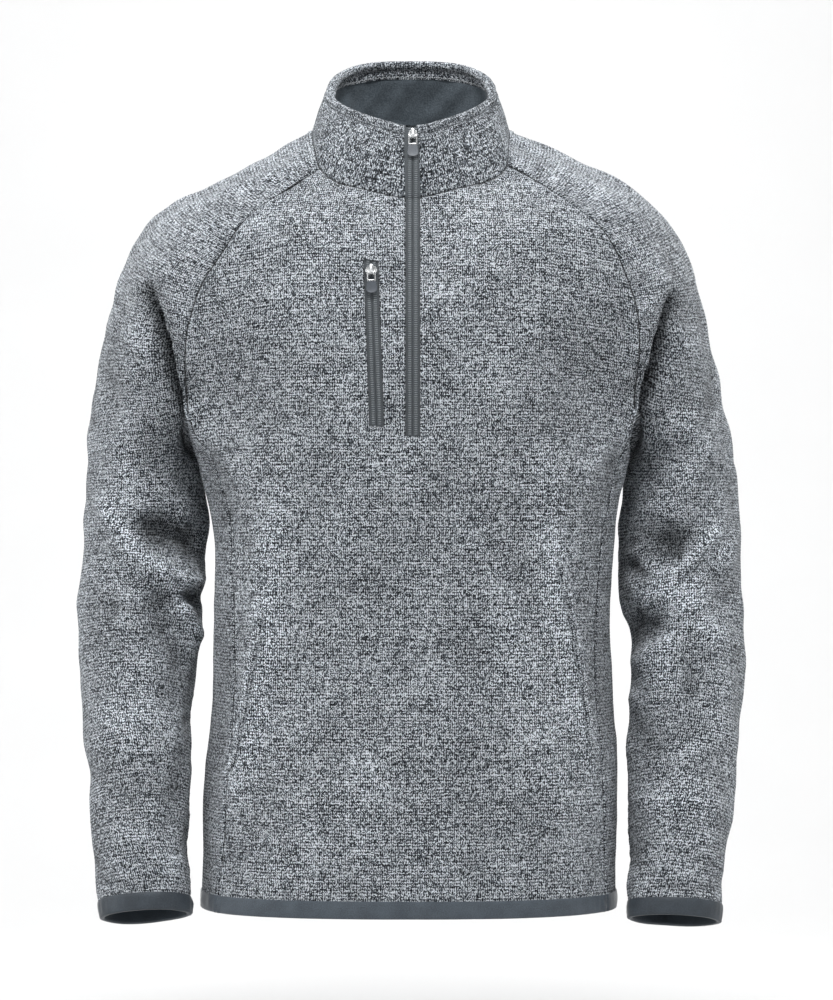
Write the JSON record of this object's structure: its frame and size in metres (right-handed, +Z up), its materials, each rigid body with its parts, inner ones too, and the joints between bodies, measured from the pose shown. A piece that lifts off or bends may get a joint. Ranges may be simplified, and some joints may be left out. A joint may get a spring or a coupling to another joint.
{
  "type": "quarter-zip raglan fleece pullover",
  "caption": "Hollow, worn-form fleece pullover with raglan sleeves, stand collar, chest-length front zip, zipped chest pocket and bound hem and cuffs.",
  "frame": {"origin": "middle of the neck opening, at the height where the neck seam crosses the shoulders, where the wearer holds the garment up", "axes": "+X towards the wearer's left, +Y from front to back, +Z up along the wearer"},
  "size_m": [0.641, 0.2683, 0.8349],
  "materials": {
    "marled_knit_fleece": "marled knitted face, brushed back",
    "slate_fleece": "brushed fleece",
    "slate_binding": "smooth stretch binding, slightly shiny",
    "grey_zip_tape": "woven tape with a reverse coil",
    "nickel_plate": "satin nickel plate",
    "grey_moulded_tip": "matte moulded"
  },
  "bodies": {
    "garment": {"front_panel": "marled_knit_fleece", "back_panel": "marled_knit_fleece", "right_side_panel": "marled_knit_fleece", "left_side_panel": "marled_knit_fleece", "right_sleeve": "marled_knit_fleece", "left_sleeve": "marled_knit_fleece", "collar": "marled_knit_fleece", "collar_lining": "slate_fleece", "hem_binding": "slate_binding", "right_cuff_binding": "slate_binding", "left_cuff_binding": "slate_binding", "centre_zip_tape_right": "grey_zip_tape", "centre_zip_tape_left": "grey_zip_tape", "centre_zip_garage": "grey_zip_tape", "pocket_zip_tape_right": "grey_zip_tape", "pocket_zip_tape_left": "grey_zip_tape", "centre_slider": "nickel_plate", "pocket_slider": "nickel_plate"},
    "centre_zip_pull": {"centre_pull": "nickel_plate", "centre_pull_tip": "grey_moulded_tip"},
    "pocket_zip_pull": {"pocket_pull": "nickel_plate", "pocket_pull_tip": "grey_moulded_tip"}
  },
  "joints": [
    {"name": "centre_pull_hinge", "type": "hinge", "parent": "garment", "child": "centre_zip_pull", "pos_m": [0.0033, -0.08329, 0.00577], "axis": [-1, 0, 0], "range_deg": [0, 165]},
    {"name": "pocket_pull_hinge", "type": "hinge", "parent": "garment", "child": "pocket_zip_pull", "pos_m": [-0.03509, -0.12775, -0.12501], "axis": [-0.9997, -0.0069, -0.0217], "range_deg": [0, 165]}
  ]
}
